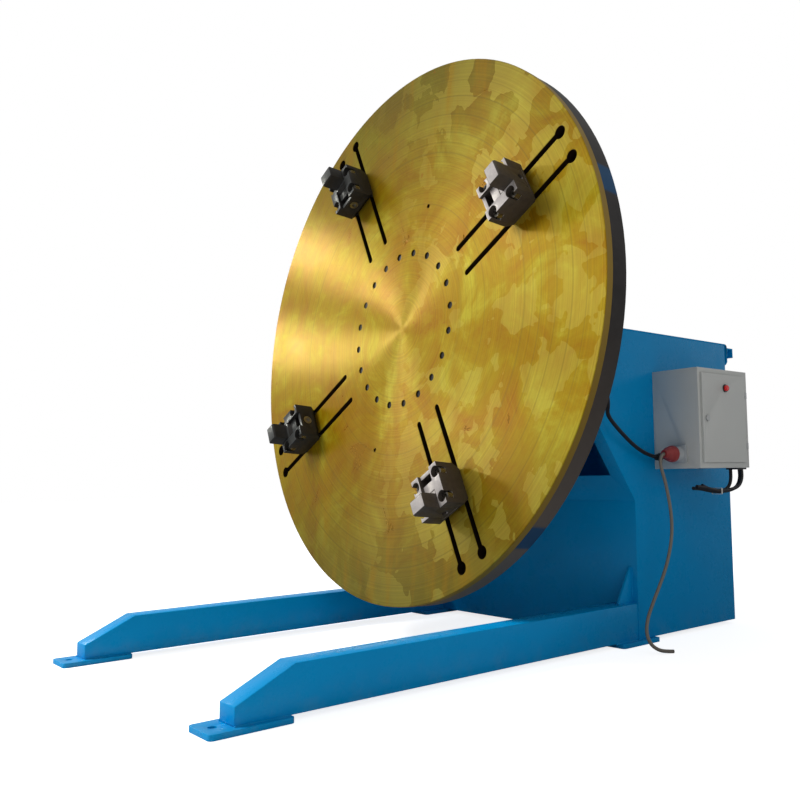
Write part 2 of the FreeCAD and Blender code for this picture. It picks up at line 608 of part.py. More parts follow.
# ---- jaw units -----------------------------------------------------------------------------------
def jaw_base():
    """Body that straddles a slot pair: open channel, undercut rails, bolt pockets and cut lower ends."""
    half_l, half_w = jaw_l / 2, jaw_w / 2
    cut_l, cut_h = jaw_end_cut
    profile = [(-half_l + cut_l, 0), (half_l - cut_l, 0), (half_l, cut_h), (half_l, jaw_h), (-half_l, jaw_h),
               (-half_l, cut_h)]
    solid = prism([V(a, -half_w, c) for a, c in profile], Y * jaw_w)
    plate_end = -half_l + end_plate_t
    solid = solid.cut(box(plate_end, half_l, -channel_w / 2, channel_w / 2, channel_floor, jaw_h))
    solid = solid.cut(box(-half_l, plate_end, -channel_w / 2, channel_w / 2, jaw_low, jaw_h))
    solid = solid.cut(box(plate_end, half_l, -tee_w / 2, tee_w / 2, channel_floor, channel_floor + tee_h))
    solid = solid.cut(rod(-half_l, 0, screw_z, X, screw_r + shaft_clear, end_plate_t))
    solid = solid.cut(rod(-half_l, 0, screw_z, X, screw_head_r + slide_clear, screw_head_t + shaft_clear))
    for a, b in jaw_bolt_places():
        solid = solid.cut(rod(a, b, jaw_h - jaw_pocket_d, Z, jaw_pocket_r, jaw_pocket_d))
        solid = solid.cut(rod(a, b, 0, Z, jaw_bolt_r + 0.5, jaw_h))
    return solid


def jaw_bolt_places():
    return [(a, b) for a in (-jaw_bolt_a, jaw_bolt_a) for b in (-slot_gap / 2, slot_gap / 2)]


def sliding_jaw():
    """Jaw with a tee foot, a low back, a step and a tall tip at its outer end."""
    low = channel_floor + slide_clear
    half = channel_w / 2 - slide_clear
    tip_in = jaw_out - jaw_tip_l
    edge = 5.0
    profile = [(jaw_in, low), (jaw_out, low), (jaw_out, jaw_tip_h - edge), (jaw_out - edge, jaw_tip_h),
               (tip_in + edge, jaw_tip_h), (tip_in, jaw_tip_h - edge), (tip_in, jaw_h),
               (tip_in - jaw_step, jaw_h), (tip_in - 2 * jaw_step, jaw_low), (jaw_in, jaw_low)]
    solid = prism([V(a, -half, c) for a, c in profile], Y * (2 * half))
    tee = box(jaw_in, jaw_out, -tee_w / 2 + slide_clear, tee_w / 2 - slide_clear, low,
              channel_floor + tee_h - slide_clear)
    return fused([solid, tee]).cut(rod(jaw_in, 0, screw_z, X, screw_r + shaft_clear, jaw_out - jaw_in))


def jaw_screw():
    """Lead screw with a socket head let into the end plate and a collar behind it."""
    start = -jaw_l / 2
    plate_end = start + end_plate_t
    head = rod(start, 0, screw_z, X, screw_head_r, screw_head_t)
    socket = hexagon(start, 0, screw_z, X, 9.0, screw_head_t - 2)
    shank = rod(start + screw_head_t, 0, screw_z, X, screw_r, screw_end - start - screw_head_t)
    collar = rod(plate_end + shaft_clear, 0, screw_z, X, screw_r + 5, 5)
    return fused([head, shank, collar]).cut(socket)


def jaw_fasteners():
    """Four cap screws, each with its T-nut."""
    solids = []
    neck_l, under_w, nut_h = tee_nut
    seat = jaw_h - jaw_pocket_d
    for a, b in jaw_bolt_places():
        head = rod(a, b, seat, Z, jaw_head_r, jaw_head_h).cut(hexagon(a, b, seat + jaw_head_h - 9, Z, 9.0, 9))
        solids.append(head.fuse(rod(a, b, -slot_neck - nut_h, Z, jaw_bolt_r, seat + slot_neck + nut_h)))
        nut = box(a - neck_l / 2, a + neck_l / 2, b - under_w / 2, b + under_w / 2,
                  -slot_neck - slide_clear - nut_h, -slot_neck - slide_clear)
        solids.append(nut.cut(rod(a, b, -slot_neck - 2 * nut_h, Z, jaw_bolt_r, 3 * nut_h)))
    return solids


def jaw_units():
    base, jaw, screw, fasteners = jaw_base(), sliding_jaw(), jaw_screw(), jaw_fasteners()
    for i in range(4):
        def placed(shape):
            copy = shape.copy()
            copy.translate(V(jaw_r, 0, shaft_clear))
            return leaned(on_table(copy, slot_first + 90 * i))

        tag = "_" + str(i + 1)
        emit("jaw_base" + tag, placed(base))
        emit("sliding_jaw" + tag, placed(jaw))
        emit("jaw_screw" + tag, placed(screw))
        emit("jaw_bolts" + tag, *[placed(s) for s in fasteners])


# ---- control cabinet -----------------------------------------------------------------------------
def cabinet_case():
    """Folded sheet case with a front frame."""
    case = box(stand_half, cab_x, cab_front, cab_rear, cab_low, cab_high)
    inside = box(stand_half + sheet, cab_x - sheet, cab_front + sheet, cab_rear - sheet, cab_low + sheet,
                 cab_high - sheet)
    mouth = box(cab_x - sheet, cab_x, cab_front + frame_w, cab_rear - frame_w - hinge_r, cab_low + frame_w,
                cab_high - frame_w)
    case = case.cut([inside, mouth])
    case = case.cut([rod(inlet_x, cab_front, inlet_z, Y, inlet_base_r, sheet),
                     rod(lead_gland_x, cab_front, lead_gland_z, Y, lead_r, sheet)])
    case = case.cut([rod(route[0][0], route[0][1], cab_low, Z, spare_r, sheet) for route in spare_routes])
    emit("cabinet_body", case)


def cabinet_door():
    """Tray-shaped door that closes on the frame, with the upper knuckles of its lift-off hinges."""
    x0, x1 = cab_x + door_gap, cab_x + door_t
    door = box(x0, x1, door_front, door_rear, door_low, door_high)
    door = door.makeFillet(1.5, [e for e in door.Edges if e.CenterOfMass.x > x1 - 0.1])
    door = door.cut(box(x0, x1 - sheet, door_front + sheet, door_rear - sheet, door_low + sheet,
                        door_high - sheet))
    door = door.cut([rod(x1 - sheet, lamp_y, lamp_z, X, lamp_r - 3 + slide_clear, sheet),
                     rod(x1 - sheet, lock_y, lock_z, X, lock_r - 2, sheet)])
    knuckles = []
    for z in hinge_z:
        knuckle = rod(hinge_x, hinge_y, z + hinge_clear, Z, hinge_r, hinge_h / 2 - hinge_clear)
        arm = box(hinge_x - 1.5, hinge_x + 1.5, door_rear - sheet, hinge_y, z + hinge_clear, z + hinge_h / 2)
        bore = rod(hinge_x, hinge_y, z, Z, hinge_pin_r + shaft_clear, hinge_h * 0.4 + 1)
        knuckles.append(arm.fuse(knuckle).cut(bore))
    emit("cabinet_door", fused([door] + knuckles))
    halves = []
    for z in hinge_z:
        low = z - hinge_h / 2
        halves.append(fused([rod(hinge_x, hinge_y, low, Z, hinge_r, hinge_h / 2),
                             rod(hinge_x, hinge_y, z, Z, hinge_pin_r, hinge_h * 0.4),
                             box(cab_x, hinge_x, hinge_y - 1.5, hinge_y + 1.5, low, z),
                             box(cab_x, cab_x + 2, hinge_y - 1.5, cab_rear - 2, low, z)]))
    emit("door_hinges", *halves)


def door_fittings():
    """Pilot lamp and quarter-turn lock, drawn unlocked."""
    x1 = cab_x + door_t
    emit("lamp_body", rod(x1, lamp_y, lamp_z, X, lamp_r, 4).fuse(rod(x1 - 40, lamp_y, lamp_z, X, lamp_r - 3, 40)))
    lens = rod(x1 + 4, lamp_y, lamp_z, X, lamp_r - 3, 9)
    emit("lamp_lens", lens.makeFillet(4.0, [e for e in lens.Edges if e.CenterOfMass.x > x1 + 12.5]))
    back = cab_x - sheet - 1.5
    cam = box(back - 3, back, lock_y - 7, lock_y + 7, lock_z - 8, lock_z + 22)
    key = box(x1 + 2, x1 + 5, lock_y - 1.2, lock_y + 1.2, lock_z - 6, lock_z + 6)
    barrel = rod(back - 5, lock_y, lock_z, X, lock_r - 2 - shaft_clear, x1 - back + 5)
    emit("door_lock", fused([rod(x1 + shaft_clear, lock_y, lock_z, X, lock_r, 5), barrel, cam,
                             rod(x1, lock_y, lock_z, X, lock_r - 2 - shaft_clear, 4)]).cut(key))


def cabinet_inside():
    """Mounting plate on posts, with two contactors, an inverter and a terminal rail."""
    x0 = stand_half + plate_gap
    x1 = x0 + plate_sheet
    plate = box(x0, x1, cab_front + plate_edge, cab_rear - plate_edge, cab_low + plate_edge,
                cab_high - plate_edge)
    posts = [rod(stand_half + sheet, y, z, X, post_r, plate_gap - sheet)
             for y in (cab_front + 2 * plate_edge, cab_rear - 2 * plate_edge)
             for z in (cab_low + 2 * plate_edge, cab_high - 2 * plate_edge)]
    deep, wide, tall, pitch = contactor
    y0, z0 = cab_front + 2 * plate_edge, cab_low + 0.4 * (cab_high - cab_low)
    gear = [box(x1, x1 + deep, y0 + pitch * i, y0 + pitch * i + wide, z0, z0 + tall) for i in range(2)]
    deep, wide, tall = inverter
    y1 = cab_rear - 2 * plate_edge
    gear.append(box(x1, x1 + deep, y1 - wide, y1, z0, z0 + tall))
    deep, tall = terminal_rail
    z1 = cab_low + 2 * plate_edge
    gear.append(box(x1, x1 + deep, y0, y1, z1, z1 + tall))
    emit("mounting_plate", fused([plate] + posts))
    emit("control_gear", *gear)


def inlet_and_plug():
    """Five-pin inlet in the cabinet's front face, and the plug in it."""
    y = cab_front
    half = inlet_w / 2
    flange = box(inlet_x - half, inlet_x + half, y - 8, y, inlet_z - half, inlet_z + half)
    flange = flange.makeFillet(8, [e for e in flange.Edges if abs(e.Vertexes[0].Y - e.Vertexes[1].Y) > 4])
    shroud = ring(inlet_x, y - 34, inlet_z, Y, 26, 22.5, 34)
    base = rod(inlet_x, y - 8, inlet_z, Y, inlet_base_r - 0.1, 30)
    emit("supply_inlet", fused([flange.cut(rod(inlet_x, y - 8, inlet_z, Y, 22, 8)), shroud, base]))
    bore_r = supply_r + 0.5
    profile = [(0, 10), (22, 10), (22, 38), (29, 38), (29, 52), (26, 56), (24, plug_len - 22),
               (16, plug_len - 12), (14, plug_len), (bore_r, plug_len), (bore_r, plug_len - plug_bore),
               (0, plug_len - plug_bore)]
    points = [V(inlet_x + r, y - d, inlet_z) for r, d in profile]
    plug = Part.Face(Part.makePolygon(points + points[:1])).revolve(V(inlet_x, 0, inlet_z), Y, 360)
    emit("supply_plug", plug)


def gland(point, direction, radius, length):
    """Cable gland: hex base, dome nut and bore."""
    base = hexagon(point.x, point.y, point.z, direction, radius + 8, length * 0.35)
    start = point + direction * (length * 0.35)
    nut = Part.makeCone(radius + 6.5, radius + 3.5, length * 0.65, start, direction)
    bore = Part.makeCylinder(radius + 0.2, length, point, direction)
    return base.fuse(nut).cut(bore)


def glands():
    """Glands of the control lead, and the rubber entry of the spare leads in the cabinet's floor."""
    xs = [route[0][0] for route in spare_routes]
    ys = [route[0][1] for route in spare_routes]
    edge = spare_r + entry_edge
    entry = box(min(xs) - edge, max(xs) + edge, min(ys) - edge, max(ys) + edge, cab_low - entry_t, cab_low)
    entry = entry.cut([rod(x, y, cab_low - entry_t, Z, spare_r + slide_clear, entry_t) for x, y in zip(xs, ys)])
    emit("lead_glands", gland(V(lead_gland_x, cab_front, lead_gland_z), Y * -1, lead_r, gland_len),
         gland(V(stand_half, wall_gland_y, wall_gland_z), X, lead_r, gland_len), entry)


# ---- cords ---------------------------------------------------------------------------------------
def cord_path(points):
    """Straight runs joined by tangent arcs, each as large as its two runs allow."""
    edges = []
    start = points[0]
    radii = []
    for before, corner, after in zip(points, points[1:], points[2:]):
        u, w = (before - corner).normalize(), (after - corner).normalize()
        half = (pi - u.getAngle(w)) / 2
        shorter = min((before - corner).Length, (after - corner).Length)
        setback = 0.45 * shorter
        radii.append(setback / tan(half))
        a, b = corner + u * setback, corner + w * setback
        bisector = (u + w).normalize()
        centre_gap = radii[-1] / cos(half)
        middle = corner + bisector * (centre_gap - radii[-1])
        edges.append(Part.LineSegment(start, a).toShape())
        edges.append(Part.Arc(a, middle, b).toShape())
        start = b
    edges.append(Part.LineSegment(start, points[-1]).toShape())
    return Part.Wire(edges), radii


def cord(name, radius, *routes):
    """One node of one or more cords of the same size."""
    tubes = []
    for route in routes:
        points = [V(*p) for p in route]
        path, radii = cord_path(points)
        along = (points[1] - points[0]).normalize()
        section = Part.Wire(Part.makeCircle(radius, points[0], along))
        tubes.append(path.makePipeShell([section], True, False, 2))
        expected = pi * radius * radius * path.Length
        print(name, "length", round(path.Length), "radii", [round(r) for r in radii],
              "volume ratio", round(tubes[-1].Volume / expected, 4))
    emit(name, *tubes)


supply_route = [(712, 42, 664), (712, 24, 664), (712.4, 11, 654), (713, 5, 636), (713.5, 12, 606), (714, 27, 572),
                (715, 40, 524), (715.5, 51, 474), (716, 56, 424), (716, 52, 374), (716, 37, 322), (716, 9, 262),
                (716, -30, 206), (717, -68, 156), (722, -104, 110), (732, -124, 68), (745, -120, 34),
                (760, -100, 15), (773, -74, 8), (784, -48, 6.3)]
lead_route = [(626, -238, 900), (653, -238, 899), (674, -235, 883), (683, -230, 857), (678, -221, 829),
              (650, -197, 798), (645, -144, 758), (638, -92, 727), (633, -38, 696), (630, 10, 675.5),
              (628, 52, 662.5), (627, 94, 655)]
rear_spare = [(742, 451, 606), (742, 454, 588), (742, 451, 570), (742, 442, 554), (742, 428, 542), (742, 408, 534),
              (742, 380, 529), (742, 345, 526), (742, 300, 525), (742, 250, 530), (742, 200, 539), (742, 152, 541)]
outer_spare = [(755, 446, 606), (755, 448, 588), (755, 445, 571), (755, 436, 556), (755, 422, 545),
               (755, 403, 538), (755, 376, 533), (755, 343, 530), (755, 300, 529), (755, 250, 534),
               (755, 200, 544), (755, 156, 547)]
front_spare = [(729, 412, 606), (729, 413, 590), (729, 412, 573), (729, 407, 557), (729, 397, 544),
               (729, 382, 535), (729, 360, 530), (729, 330, 529), (729, 300, 531), (729, 262, 537), (729, 225, 550)]
spare_routes = [rear_spare, outer_spare, front_spare]


def cable_tie():
    """Band round the three spare leads."""
    places = [point for route in spare_routes for point in route if point[1] == tie_y]
    reach = spare_r + tie_clear
    x0, x1 = min(p[0] for p in places) - reach, max(p[0] for p in places) + reach
    z0, z1 = min(p[2] for p in places) - reach, max(p[2] for p in places) + reach
    y0, y1 = tie_y - tie_w / 2, tie_y + tie_w / 2
    band = box(x0 - tie_t, x1 + tie_t, y0, y1, z0 - tie_t, z1 + tie_t)
    band = band.makeFillet(2 * tie_t, [e for e in band.Edges if abs(e.Vertexes[0].Y - e.Vertexes[1].Y) > 1])
    emit("cable_tie", band.cut(box(x0, x1, y0, y1, z0, z1)))


def main():
    os.makedirs("parts", exist_ok=True)
    for make in (stand, leg, gussets, feet, top_cover, rear_cover, cable_hook, trunnion_bearings, stand_bolts,
                 tilt_drive, head_frame, trunnion_shafts, tilt_sector, head_bolts, spin_drive, slewing_ring,
                 earth_brush, faceplate, faceplate_bolts, jaw_units, cabinet_case, cabinet_door, door_fittings,
                 cabinet_inside, inlet_and_plug, glands, cable_tie):
        make()
    cord("supply_cord", supply_r, supply_route)
    cord("control_lead", lead_r, lead_route)
    cord("cable_hank", spare_r, rear_spare, outer_spare)
    cord("hank_tail", spare_r, front_spare)


main()
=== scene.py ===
import json
from math import cos, radians, sin

import bmesh
import bpy
from mathutils import Matrix, Vector


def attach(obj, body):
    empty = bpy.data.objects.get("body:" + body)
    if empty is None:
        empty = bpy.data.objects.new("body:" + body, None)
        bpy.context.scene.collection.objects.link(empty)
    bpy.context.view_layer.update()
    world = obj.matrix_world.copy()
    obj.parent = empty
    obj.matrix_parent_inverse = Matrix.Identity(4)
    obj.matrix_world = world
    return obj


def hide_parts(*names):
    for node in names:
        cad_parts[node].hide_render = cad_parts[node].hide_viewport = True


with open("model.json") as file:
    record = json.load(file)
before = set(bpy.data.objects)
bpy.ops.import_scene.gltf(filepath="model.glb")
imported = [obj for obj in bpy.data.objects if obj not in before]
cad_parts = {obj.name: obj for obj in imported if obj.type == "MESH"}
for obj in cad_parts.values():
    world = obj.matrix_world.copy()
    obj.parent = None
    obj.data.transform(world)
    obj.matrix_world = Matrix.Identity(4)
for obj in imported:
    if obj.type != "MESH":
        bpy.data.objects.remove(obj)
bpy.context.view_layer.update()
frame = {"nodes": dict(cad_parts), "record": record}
nodes = frame["nodes"]
body_of = {name: body for body, names in frame["record"]["behaviour"]["bodies"].items() for name in names}

# ---- places, in metres --------------------------------------------------------------------------
face_centre = Vector((0, -0.129781, 1.143633))      # middle of the faceplate's machined face
lean = radians(-5)                                  # the face leans back this far
face_normal = Vector((0, -cos(lean), -sin(lean)))
plate_radius, rim_band = 1.0, 0.0265                # faceplate, and the depth of the band machined on its rim
scribed_radii = (0.345, 0.470, 0.560, 0.660, 0.735, 0.800, 0.868, 0.925)
scribe_width = 0.0056
paint_dabs = ((0.35, 0.055), (-0.83, 0.055))        # on the rim: where, and how wide to each side, in radians
panel_front, fold_height = 0.455, 0.500             # front panel of the stand
leg_inner, leg_outer, leg_top = 0.515, 0.600, 0.140
gusset_faces, gusset_front, gusset_top = (0.563, 0.575), 0.382, 0.263
plate_top, plate_runs = 0.015, ((-1.043, -0.900), (0.335, 0.440))     # foot plates, and their welded lengths


# ---- nodes and meshes ------------------------------------------------------------------------
def linear(hex_colour):
    """sRGB hex to linear RGBA."""
    channels = [int(hex_colour[i:i + 2], 16) / 255 for i in (1, 3, 5)]
    return [c / 12.92 if c <= 0.04045 else ((c + 0.055) / 1.055) ** 2.4 for c in channels] + [1.0]


def add(tree, kind, inputs=(), take=0, stops=(), **settings):
    """Add a node with its settings, inputs (values or outputs to link) and ramp stops; return one output,
    or the node itself where take is None."""
    node = tree.nodes.new(kind)
    for name, value in settings.items():
        setattr(node, name, value)
    for key, value in dict(inputs).items():
        if isinstance(value, bpy.types.NodeSocket):
            tree.links.new(value, node.inputs[key])
        else:
            node.inputs[key].default_value = value
    for i, (place, colour) in enumerate(stops):
        elements = node.color_ramp.elements
        element = elements[i] if i < 2 else elements.new(place)
        element.position, element.color = place, colour
    return node if take is None else node.outputs[take]


NOISE, MIX, RANGE = "ShaderNodeTexNoise", "ShaderNodeMix", "ShaderNodeMapRange"
MATHS, VECTORS, BUMP = "ShaderNodeMath", "ShaderNodeVectorMath", "ShaderNodeBump"


def per(millimetres):
    """The scale of a pattern whose features are about this big."""
    return 1000 / millimetres


def finish_of(name, **constants):
    """A new material with its shader's constants set; returns it, its tree, its shader and coordinates."""
    material = bpy.data.materials.new(name)
    material.use_nodes = True
    tree = material.node_tree
    shader = tree.nodes["Principled BSDF"]
    for socket, value in constants.items():
        shader.inputs[socket.replace("_", " ")].default_value = value
    return material, tree, shader, add(tree, "ShaderNodeTexCoord", take=None)


def smoothed(mesh, degrees=35):
    """Shade smooth, with edges sharper than the angle kept crisp."""
    mesh.polygons.foreach_set("use_smooth", [True] * len(mesh.polygons))
    mesh.set_sharp_from_angle(angle=radians(degrees))


def dressed(name, millimetres, segments=2):
    """A copy of a CAD node with its edges broken, which stands for it."""
    mesh = nodes[name].data.copy()
    work = bmesh.new()
    work.from_mesh(mesh)
    bmesh.ops.remove_doubles(work, verts=work.verts, dist=1e-5)
    bmesh.ops.dissolve_limit(work, angle_limit=radians(0.6), verts=work.verts, edges=work.edges)
    work.to_mesh(mesh)
    work.free()
    piece = bpy.data.objects.new(name + "_finished", mesh)
    bpy.context.scene.collection.objects.link(piece)
    edge = piece.modifiers.new("broken edges", "BEVEL")
    edge.width, edge.segments = millimetres / 1000, segments
    edge.limit_method, edge.angle_limit = "ANGLE", radians(32)
    edge.use_clamp_overlap = True
    edge.miter_outer = "MITER_ARC"
    plain = bpy.data.meshes.new_from_object(piece.evaluated_get(bpy.context.evaluated_depsgraph_get()))
    piece.modifiers.clear()
    piece.data = plain
    smoothed(plain)
    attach(piece, body_of[name])
    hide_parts(name)
    return piece


def paint(piece, material):
    """Give a piece one material all over."""
    piece.data.materials.clear()
    piece.data.materials.append(material)


# ---- finishes ----------------------------------------------------------------------------------
def machinery_enamel():
    """Sprayed two-part enamel: glossy, a little orange peel on slightly wavy plate, dusty near the floor."""
    material, tree, shader, place = finish_of("machinery_enamel", Roughness=0.30, Specular_IOR_Level=0.12)
    where = place.outputs["Object"]
    patches = add(tree, NOISE, {"Vector": where, "Scale": per(333), "Detail": 3.0})
    colour = add(tree, MIX, {0: patches, 6: linear("#008CCB"), 7: linear("#0098D8")}, 2, data_type="RGBA")
    height = add(tree, "ShaderNodeSeparateXYZ", {0: where}, 2)
    low = add(tree, RANGE, {"Value": height, 1: 0.10, 2: 0.0, 3: 0.0, 4: 1.0})
    grime = add(tree, NOISE, {"Vector": where, "Scale": per(55.5), "Detail": 6.0, "Roughness": 0.6})
    grime = add(tree, RANGE, {"Value": grime, 1: 0.45, 2: 0.75, 3: 0.0, 4: 0.16})
    dust = add(tree, MATHS, {0: low, 1: grime}, operation="MULTIPLY")
    colour = add(tree, MIX, {0: dust, 6: colour, 7: linear("#8C9AA0")}, 2, data_type="RGBA")
    tree.links.new(colour, shader.inputs["Base Color"])
    scuffs = add(tree, NOISE, {"Vector": where, "Scale": per(71.4), "Detail": 8.0, "Roughness": 0.75})
    gloss = add(tree, RANGE, {"Value": scuffs, 1: 0.40, 2: 0.75, 3: 0.24, 4: 0.46})
    tree.links.new(gloss, shader.inputs["Roughness"])
    wave = add(tree, NOISE, {"Vector": where, "Scale": per(333), "Detail": 0.5})
    sheet = add(tree, BUMP, {"Height": wave, "Strength": 0.25, "Distance": 0.006})
    peel = add(tree, NOISE, {"Vector": where, "Scale": per(3.85), "Detail": 2.0})
    skin = add(tree, BUMP, {"Height": peel, "Strength": 0.10, "Distance": 0.0006, "Normal": sheet})
    tree.links.new(skin, shader.inputs["Normal"])
    return material


def oiled_turned_plate():
    """Steel plate turned on its face, brushed with yellow rust-preventive oil that has dried in patches; dark
    oiled rim with a band that is machined next to the face; dark walls in the slots."""
    material, tree, shader, place = finish_of("oiled_turned_plate", Metallic=0.62, Anisotropic=0.90,
                                              Specular_IOR_Level=0.3)
    local = add(tree, "ShaderNodeMapping", {"Vector": place.outputs["Object"], "Location": face_centre,
                                            "Rotation": (lean, 0, 0)}, vector_type="TEXTURE")
    flat = add(tree, VECTORS, {0: local, 1: (1, 0, 1)}, operation="MULTIPLY")
    radius = add(tree, VECTORS, {0: flat}, "Value", operation="LENGTH")
    parts = add(tree, "ShaderNodeSeparateXYZ", {0: local}, None)
    depth = parts.outputs[1]
    to_side, upwards = parts.outputs[0], parts.outputs[2]
    angle = add(tree, MATHS, {0: upwards, 1: to_side}, operation="ARCTAN2")

    # oil: golden where thick, pale straw where wiped; the olive towards the top and bottom of the plate is a
    # painted dark reflection of darker surroundings
    cloud = add(tree, NOISE, {"Vector": flat, "Scale": per(238), "Detail": 8.0, "Roughness": 0.66,
                              "Distortion": 0.9})
    colour = add(tree, "ShaderNodeValToRGB", {0: cloud}, stops=(
        (0.34, linear("#A06C00")), (0.68, linear("#BCAC2C")),
        (0.45, linear("#A67E00")), (0.55, linear("#AC8E08"))))
    # painted reflection: the face is darkened to olive towards its top and bottom, where it mirrors darker
    # surroundings
    painted_dark_reflection = add(tree, MATHS, {0: upwards}, operation="ABSOLUTE")
    painted_dark_reflection = add(tree, RANGE, {"Value": painted_dark_reflection, 1: 0.35, 2: 0.95, 3: 0.0, 4: 0.75})
    colour = add(tree, MIX, {0: painted_dark_reflection, 6: colour, 7: linear("#625C1C")}, 2, data_type="RGBA")
    # rag marks with torn edges, where a wiped stroke stopped
    torn = add(tree, NOISE, {"Vector": flat, "Scale": per(91), "Detail": 2.0, "Distortion": 0.3}, "Color")
    wander = add(tree, VECTORS, {0: torn, 1: (0.5, 0.5, 0.5)}, operation="SUBTRACT")
    wander = add(tree, VECTORS, {0: wander, "Scale": 0.16}, operation="SCALE")
    wander = add(tree, VECTORS, {0: flat, 1: wander}, operation="ADD")
    cells = add(tree, "ShaderNodeTexVoronoi", {"Vector": wander, "Scale": per(111)}, "Color")
    wiped = add(tree, "ShaderNodeSeparateColor", {0: cells}, 0)
    wiped = add(tree, RANGE, {"Value": wiped, 1: 0.55, 2: 0.57, 3: 0.0, 4: 0.34})
    to_right = add(tree, RANGE, {"Value": to_side, 1: -0.2, 2: 0.35, 3: 0.15, 4: 1.0})
    wiped = add(tree, MATHS, {0: wiped, 1: to_right}, operation="MULTIPLY")
    colour = add(tree, MIX, {0: wiped, 6: colour, 7: linear("#C8B94C")}, 2, data_type="RGBA")
    # runs and thick smears
    runs = add(tree, "ShaderNodeMapping", {"Vector": flat, "Rotation": (0, radians(28), 0),
                                           "Scale": (9, 1, 1.6)})
    runs = add(tree, NOISE, {"Vector": runs, "Scale": per(714), "Detail": 5.0, "Roughness": 0.55})
    runs = add(tree, RANGE, {"Value": runs, 1: 0.52, 2: 0.68, 3: 0.0, 4: 0.5})
    colour = add(tree, MIX, {0: runs, 6: colour, 7: linear("#A07400")}, 2, data_type="RGBA")
    # rust freckles near the bolt circle
    rust = add(tree, NOISE, {"Vector": flat, "Scale": per(45.5), "Detail": 4.0, "Roughness": 0.5})
    rust = add(tree, RANGE, {"Value": rust, 1: 0.70, 2: 0.76, 3: 0.0, 4: 0.55})
    colour = add(tree, MIX, {0: rust, 6: colour, 7: linear("#9A5A10")}, 2, data_type="RGBA")
    # turning marks: fine irregular rings, and the deeper scribed circles used for centring work
    # (feed marks of about 0.3 mm would be too fine to show, so they are 8 mm here)
    fine = add(tree, MATHS, {0: radius, 1: per(7.7)}, operation="MULTIPLY")
    fine = add(tree, NOISE, {"W": fine, "Scale": 1.0, "Detail": 4.0, "Roughness": 0.7}, noise_dimensions="1D")
    shade = add(tree, RANGE, {"Value": fine, 1: 0.3, 2: 0.7, 3: 0.86, 4: 1.10})
    colour = add(tree, MIX, {0: 1.0, 6: colour, 7: shade}, 2, data_type="RGBA", blend_type="MULTIPLY")
    scribed = [(0.0, (0, 0, 0, 1)), (1.0, (0, 0, 0, 1))]
    for ring_radius in scribed_radii:
        scribed += [(ring_radius - scribe_width / 2, (0, 0, 0, 1)), (ring_radius, (1, 1, 1, 1)),
                    (ring_radius + scribe_width / 2, (0, 0, 0, 1))]
    rings = add(tree, "ShaderNodeValToRGB", {0: radius}, stops=scribed)
    ring_mix = add(tree, RANGE, {"Value": rings, 1: 0.0, 2: 1.0, 3: 0.0, 4: 0.5})
    colour = add(tree, MIX, {0: ring_mix, 6: colour, 7: linear("#6E5E20")}, 2, data_type="RGBA")

    # rim: brown machined band next to the face, then dark mill scale with painted light towards the bottom,
    # with two dabs of the machine's blue
    rim = add(tree, RANGE, {"Value": radius, 1: plate_radius - 0.004, 2: plate_radius - 0.003,
                            3: 0.0, 4: 1.0})
    off_face = add(tree, RANGE, {"Value": depth, 1: 0.0012, 2: 0.0024, 3: 0.0, 4: 1.0})
    rim = add(tree, MATHS, {0: rim, 1: off_face}, operation="MULTIPLY")
    rim_place = add(tree, "ShaderNodeCombineXYZ", {0: angle, 1: depth})
    scale_noise = add(tree, NOISE, {"Vector": rim_place, "Scale": per(111), "Detail": 6.0, "Roughness": 0.7})
    scale_colour = add(tree, MIX, {0: scale_noise, 6: linear("#232223"), 7: linear("#4A4644")}, 2,
                       data_type="RGBA")
    # painted light: the mill scale is made lighter towards the bottom of the rim, where it faces the floor
    painted_lower_light = add(tree, RANGE, {"Value": upwards, 1: -0.1, 2: -0.8, 3: 0.0, 4: 1.0})
    scale_colour = add(tree, MIX, {0: painted_lower_light, 6: scale_colour, 7: linear("#7A7068")}, 2, data_type="RGBA")
    past_band = add(tree, RANGE, {"Value": depth, 1: rim_band - 0.001, 2: rim_band + 0.001, 3: 0.0, 4: 1.0})
    rim_colour = add(tree, MIX, {0: past_band, 6: linear("#9C8038"), 7: scale_colour}, 2, data_type="RGBA")
    colour = add(tree, MIX, {0: rim, 6: colour, 7: rim_colour}, 2, data_type="RGBA")
    for middle, half in paint_dabs:
        away = add(tree, MATHS, {0: angle, 1: middle}, operation="SUBTRACT")
        away = add(tree, MATHS, {0: away}, operation="ABSOLUTE")
        dab = add(tree, RANGE, {"Value": away, 1: half, 2: half * 0.8, 3: 0.0, 4: 0.85})
        dab = add(tree, MATHS, {0: dab, 1: rim}, operation="MULTIPLY")
        dab = add(tree, MATHS, {0: dab, 1: past_band}, operation="MULTIPLY")
        colour = add(tree, MIX, {0: dab, 6: colour, 7: linear("#0A4F7C")}, 2, data_type="RGBA")
    # walls of slots and holes
    inside = add(tree, RANGE, {"Value": radius, 1: plate_radius - 0.010, 2: plate_radius - 0.012,
                               3: 0.0, 4: 1.0})
    inside = add(tree, MATHS, {0: inside, 1: off_face}, operation="MULTIPLY")
    colour = add(tree, MIX, {0: inside, 6: colour, 7: linear("#3A2C22")}, 2, data_type="RGBA")
    tree.links.new(colour, shader.inputs["Base Color"])

